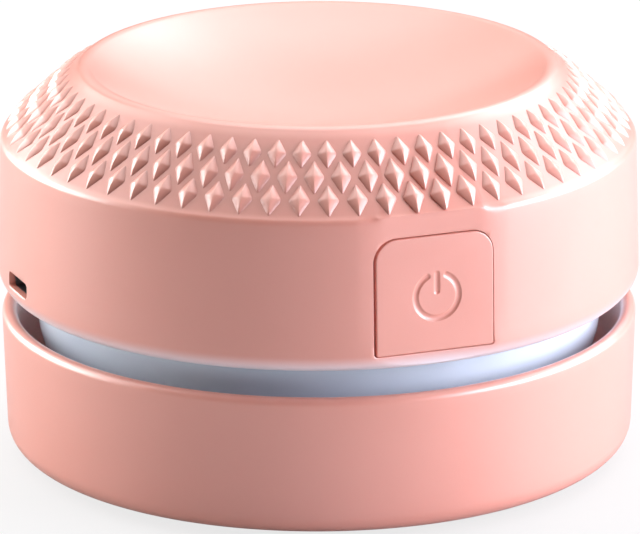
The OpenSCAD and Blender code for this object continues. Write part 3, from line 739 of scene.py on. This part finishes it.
def bowl_finish():
    """The frosted plastic of the bowl: bluish white on its outer wall, and darker inside, where the shade is
    painted.
    """
    finish = Finish("frosted_shell", **FROSTED_GLOSS)
    cloud, rough, normal = finish.mould(FROSTED_ROUGHNESS)
    r, _ = finish.round_place()
    outside = finish.step(r, 36.7 * MM, 37.5 * MM)
    outer = finish.blend(cloud, (0.61, 0.72, 0.86), (0.67, 0.78, 0.90))
    # Painted shade: the inner wall gets a darker copy of the frosted colour
    inner = finish.blend(cloud, (0.47, 0.53, 0.63), (0.51, 0.57, 0.66))
    return finish.wear(Base_Color=finish.blend(outside, inner, outer), Roughness=rough, Normal=normal)


def housing_finish():
    """The coral plastic of the housing, with painted shade between the diamonds, where it is also duller, and a
    painted reflection at the hem, where it is paler.
    """
    finish = Finish("coral_housing", **PINK_GLOSS)
    cloud, rough, normal = finish.mould(PINK_ROUGHNESS)
    r, z = finish.round_place()
    # How far a point stands out of the shoulder, and how far up the slope it lies
    inward = CREASE[0] * MM - r
    upward = z - CREASE[1] * MM
    lean, climb = math.sin(math.radians(SLOPE_ANGLE)), math.cos(math.radians(SLOPE_ANGLE))
    proud = upward * climb - inward * lean
    along = inward * climb + upward * lean
    band = finish.step(along, 0.4 * MM, 1.3 * MM) * (1 - finish.step(along, 12.3 * MM, 13.7 * MM))
    # Painted shade: the coral is darkened in the valleys between the diamonds, which are also made rougher
    valley_shade = (1 - finish.step(proud, 0.02 * MM, 0.42 * MM)) * band
    # Painted reflection: the lowest few millimetres of the hem are paled towards a bluish white, as the bright
    # floor would show in them
    hem = 1 - finish.step(z, (HOUSING_Z + 0.1) * MM, (HOUSING_Z + PAINTED_REFLECTION_TOP) * MM)
    coral = finish.blend(cloud, PINK_DEEP, PINK_LIGHT)
    knurl_with_shade = finish.blend(valley_shade * 0.75, coral, PINK_VALLEY_SHADE)
    return finish.wear(Base_Color=finish.blend(hem, knurl_with_shade, HEM_PAINTED_REFLECTION),
                       Roughness=rough + valley_shade * 0.2,
                       Normal=normal)


def bristle_finish():
    """Nylon bristles: strands that stand upright."""
    finish = Finish("nylon_bristle", IOR=1.5)
    strand = finish.noise(1.0, 2.0, stretch=(3500.0, 3500.0, 120.0))
    return finish.wear(Base_Color=finish.blend(strand, (0.62, 0.62, 0.60), (0.86, 0.86, 0.84)),
                       Roughness=0.35 + strand * 0.2,
                       Normal=finish.bump(strand, 0.00002))


def cloth_finish():
    """Woven filter cloth: two crossed bands of threads."""
    finish = Finish("filter_weave", IOR=1.4)
    warp, weft = (finish.node("ShaderNodeTexWave", {"wave_type": "BANDS", "bands_direction": direction},
                              {"Vector": finish.place, "Scale": 560.0, "Distortion": 0.4, "Detail": 1.0}, "Fac")
                  for direction in "XY")
    thread = warp.maths("MAXIMUM", warp, weft)
    soil = finish.noise(70.0, 3.0)
    tint = finish.blend(thread, (0.34, 0.35, 0.37), (0.80, 0.81, 0.83))
    return finish.wear(Base_Color=finish.blend(finish.step(soil, 0.45, 0.8) * 0.3, tint, (0.55, 0.52, 0.47)),
                       Roughness=0.8 + soil * 0.15,
                       Normal=finish.bump(thread, 0.00008))


def steel_finish():
    """Nickelled steel, drawn along its length."""
    finish = Finish("nickelled_steel", Metallic=1.0)
    draw = finish.noise(1.0, 3.0, stretch=(400.0, 400.0, 5200.0))
    spot = finish.noise(220.0, 3.0)
    return finish.wear(Base_Color=finish.blend(spot, (0.50, 0.50, 0.51), (0.64, 0.64, 0.65)),
                       Roughness=0.24 + draw * 0.16,
                       Normal=finish.bump(draw, 0.000006))


def board_finish():
    """Green solder mask over copper tracks, with tinned pads."""
    finish = Finish("circuit_board", IOR=1.5)
    tracks = finish.node("ShaderNodeTexBrick", {"offset": 0.5},
                         {"Vector": finish.place, "Scale": 260.0, "Mortar Size": 0.12, "Mortar Smooth": 0.2},
                         "Fac")
    dots = finish.node("ShaderNodeTexVoronoi", {},
                       {"Vector": finish.place, "Scale": 420.0, "Randomness": 0.3}, "Distance")
    pads = 1 - finish.step(dots, 0.16, 0.22)
    mask = finish.blend(tracks, (0.008, 0.11, 0.04), (0.02, 0.22, 0.09))
    return finish.wear(Base_Color=finish.blend(pads, mask, (0.62, 0.60, 0.55)),
                       Roughness=0.38 - pads * 0.12,
                       Normal=finish.bump(tracks + pads, 0.00003))


def sleeve_finish():
    """Shrink sleeve of the cell: glossy blue film, puckered round its length."""
    finish = Finish("cell_sleeve", IOR=1.5, Coat_Roughness=0.1)
    pucker = finish.noise(1.0, 2.0, stretch=(90.0, 1400.0, 1400.0))
    cloud = finish.noise(60.0, 2.0)
    return finish.wear(Base_Color=finish.blend(cloud, (0.035, 0.10, 0.34), (0.06, 0.16, 0.46)),
                       Roughness=0.22 + pucker * 0.1,
                       Normal=finish.bump(pucker, 0.00003))


# ---- The object --------------------------------------------------------------

pink = moulded("coral_abs", PINK_LIGHT, PINK_DEEP, PINK_ROUGHNESS, **PINK_GLOSS)

FINISHES = {
    "pink_plastic": pink,
    "frosted_plastic": moulded("frosted_bowl", (0.72, 0.84, 1.0), (0.66, 0.78, 0.98), FROSTED_ROUGHNESS,
                               **FROSTED_GLOSS),
    "white_plastic": moulded("natural_white", (0.82, 0.82, 0.79), (0.76, 0.76, 0.73), 0.42, IOR=1.5),
    "black_plastic": moulded("black_moulding", (0.022, 0.022, 0.024), (0.014, 0.014, 0.016), 0.45, IOR=1.5),
    "rubber": moulded("soft_rubber", (0.66, 0.64, 0.61), (0.58, 0.56, 0.53), 0.62, grain=0.00003, IOR=1.45),
    "bristle": bristle_finish(),
    "filter_cloth": cloth_finish(),
    "steel": steel_finish(),
    "circuit_board": board_finish(),
    "cell_sleeve": sleeve_finish(),
}


def coat(piece, finish):
    """Gives a piece that finish in all its material slots."""
    if not piece.data.materials:
        piece.data.materials.append(finish)
    for index in range(len(piece.data.materials)):
        piece.data.materials[index] = finish


for part in frame["record"]["subparts"]:
    coat(frame["nodes"][part["node"]], FINISHES[part["material_slot"]])

for make, finish, node, body, slot in (
        (housing, housing_finish(), "top_housing", "head", "pink_plastic"),
        (power_button, pink, "power_button", "button", "pink_plastic"),
        (base_cup, cup_finish(), "base_cup", "base", "pink_plastic"),
        (dust_bowl, bowl_finish(), "dust_bowl", "base", "frosted_plastic")):
    piece = make()
    piece.data.materials.clear()
    coat(piece, finish)
    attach(piece, body)
    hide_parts(node)

# ---- Studio, in metres -------------------------------------------------------

bpy.ops.object.select_all(action="DESELECT")
bpy.ops.mesh.primitive_plane_add(size=8.0, location=(0, 0, 0))
floor = bpy.context.object
floor.name = "studio_floor"

# The paper is white where it is seen, but what the object mirrors of it is dimmer, so the coral keeps its depth.
# Its glow for each kind of ray, and how much of the mirrored paper is black:
SEEN_GLOW, MIRRORED_GLOW, THROUGH_GLOW = 0.78, 0.2, 0.3
MIRRORED_DARK = 0.5
paper = Finish("white_paper", Roughness=0.9)
paper.wear(Base_Color=paper.blend(paper.noise(3.0), (0.56, 0.56, 0.57), (0.60, 0.60, 0.60)))
straight, mirrored, through = paper.node(
    "ShaderNodeLightPath", output=("Is Camera Ray", "Is Glossy Ray", "Is Transmission Ray"))
glow = paper.node("ShaderNodeEmission", {}, {"Color": WHITE})
dark = paper.node("ShaderNodeEmission", {}, {"Color": BLACK})
lit = paper.mix_shader(straight * SEEN_GLOW + mirrored * MIRRORED_GLOW + through * THROUGH_GLOW,
                       Value(paper, paper.sheen.outputs[0]), glow)
paper.feed(paper.end.inputs["Surface"], paper.mix_shader(mirrored * MIRRORED_DARK, lit, dark))
coat(floor, paper.material)


def softbox(name, azimuth, height, distance, wide, tall, radiance, blue=1.0):
    """A soft light panel at that azimuth, that looks at the middle of the object."""
    light = bpy.data.lights.new(name, "AREA")
    light.color = (1, 1, blue)
    light.shape = "RECTANGLE"
    light.size, light.size_y = wide, tall
    light.energy = radiance * math.pi * wide * tall
    panel = bpy.data.objects.new(name, light)
    bpy.context.collection.objects.link(panel)
    panel.location = outward(azimuth) * distance + Vector((0, 0, height))
    middle = Vector((0, 0, 0.025))
    panel.rotation_euler = (middle - panel.location).to_track_quat("-Z", "Y").to_euler()


# Name, azimuth, height, distance, width, height of the panel, radiance, and its blue against its red
softbox("left_low", -110, 0.13, 0.42, 0.44, 0.24, 7.4)
softbox("left_high", -108, 0.46, 0.46, 0.40, 0.36, 2.2)
softbox("right_low", 84, 0.14, 0.46, 0.60, 0.28, 8.7, blue=1.13)
softbox("right_high", 130, 0.42, 0.48, 0.42, 0.36, 4.4, blue=1.06)
softbox("back_box", 180, 0.60, 0.50, 0.70, 0.80, 1.1)
softbox("top_box", 180, 0.95, 0.14, 0.90, 0.70, 2.25)

# The air is white where it is seen, and lights the object only faintly
world = bpy.data.worlds.new("studio_air")
bpy.context.scene.world = world
world.use_nodes = True
air = Nodes(world.node_tree)
fill = air.node("ShaderNodeBackground", {}, {"Color": WHITE, "Strength": 0.05})
backdrop = air.node("ShaderNodeBackground", {}, {"Color": WHITE})
seen = air.node("ShaderNodeLightPath", output="Is Camera Ray")
end = air.tree.nodes.new("ShaderNodeOutputWorld")
air.feed(end.inputs["Surface"], air.mix_shader(seen, fill, backdrop))

# The photograph's long lens, level with the front and 17.5 degrees above it
CAMERA_DISTANCE = 0.774
CAMERA_ROLL = -0.2
aim = Vector((0.00016, 0, 0.0243))
elevation = math.radians(17.49)
camera_data = bpy.data.cameras.new("studio_camera")
camera_data.lens = 323.8
camera_data.sensor_width = 36.0
camera = bpy.data.objects.new("studio_camera", camera_data)
bpy.context.collection.objects.link(camera)
camera.location = aim + CAMERA_DISTANCE * Vector((0, -math.cos(elevation), math.sin(elevation)))
camera.rotation_euler = (Matrix.Rotation(math.pi / 2 - elevation, 3, "X")
                         @ Matrix.Rotation(math.radians(CAMERA_ROLL), 3, "Z")).to_euler()
bpy.context.scene.camera = camera
bpy.context.scene.view_settings.view_transform = "Standard"
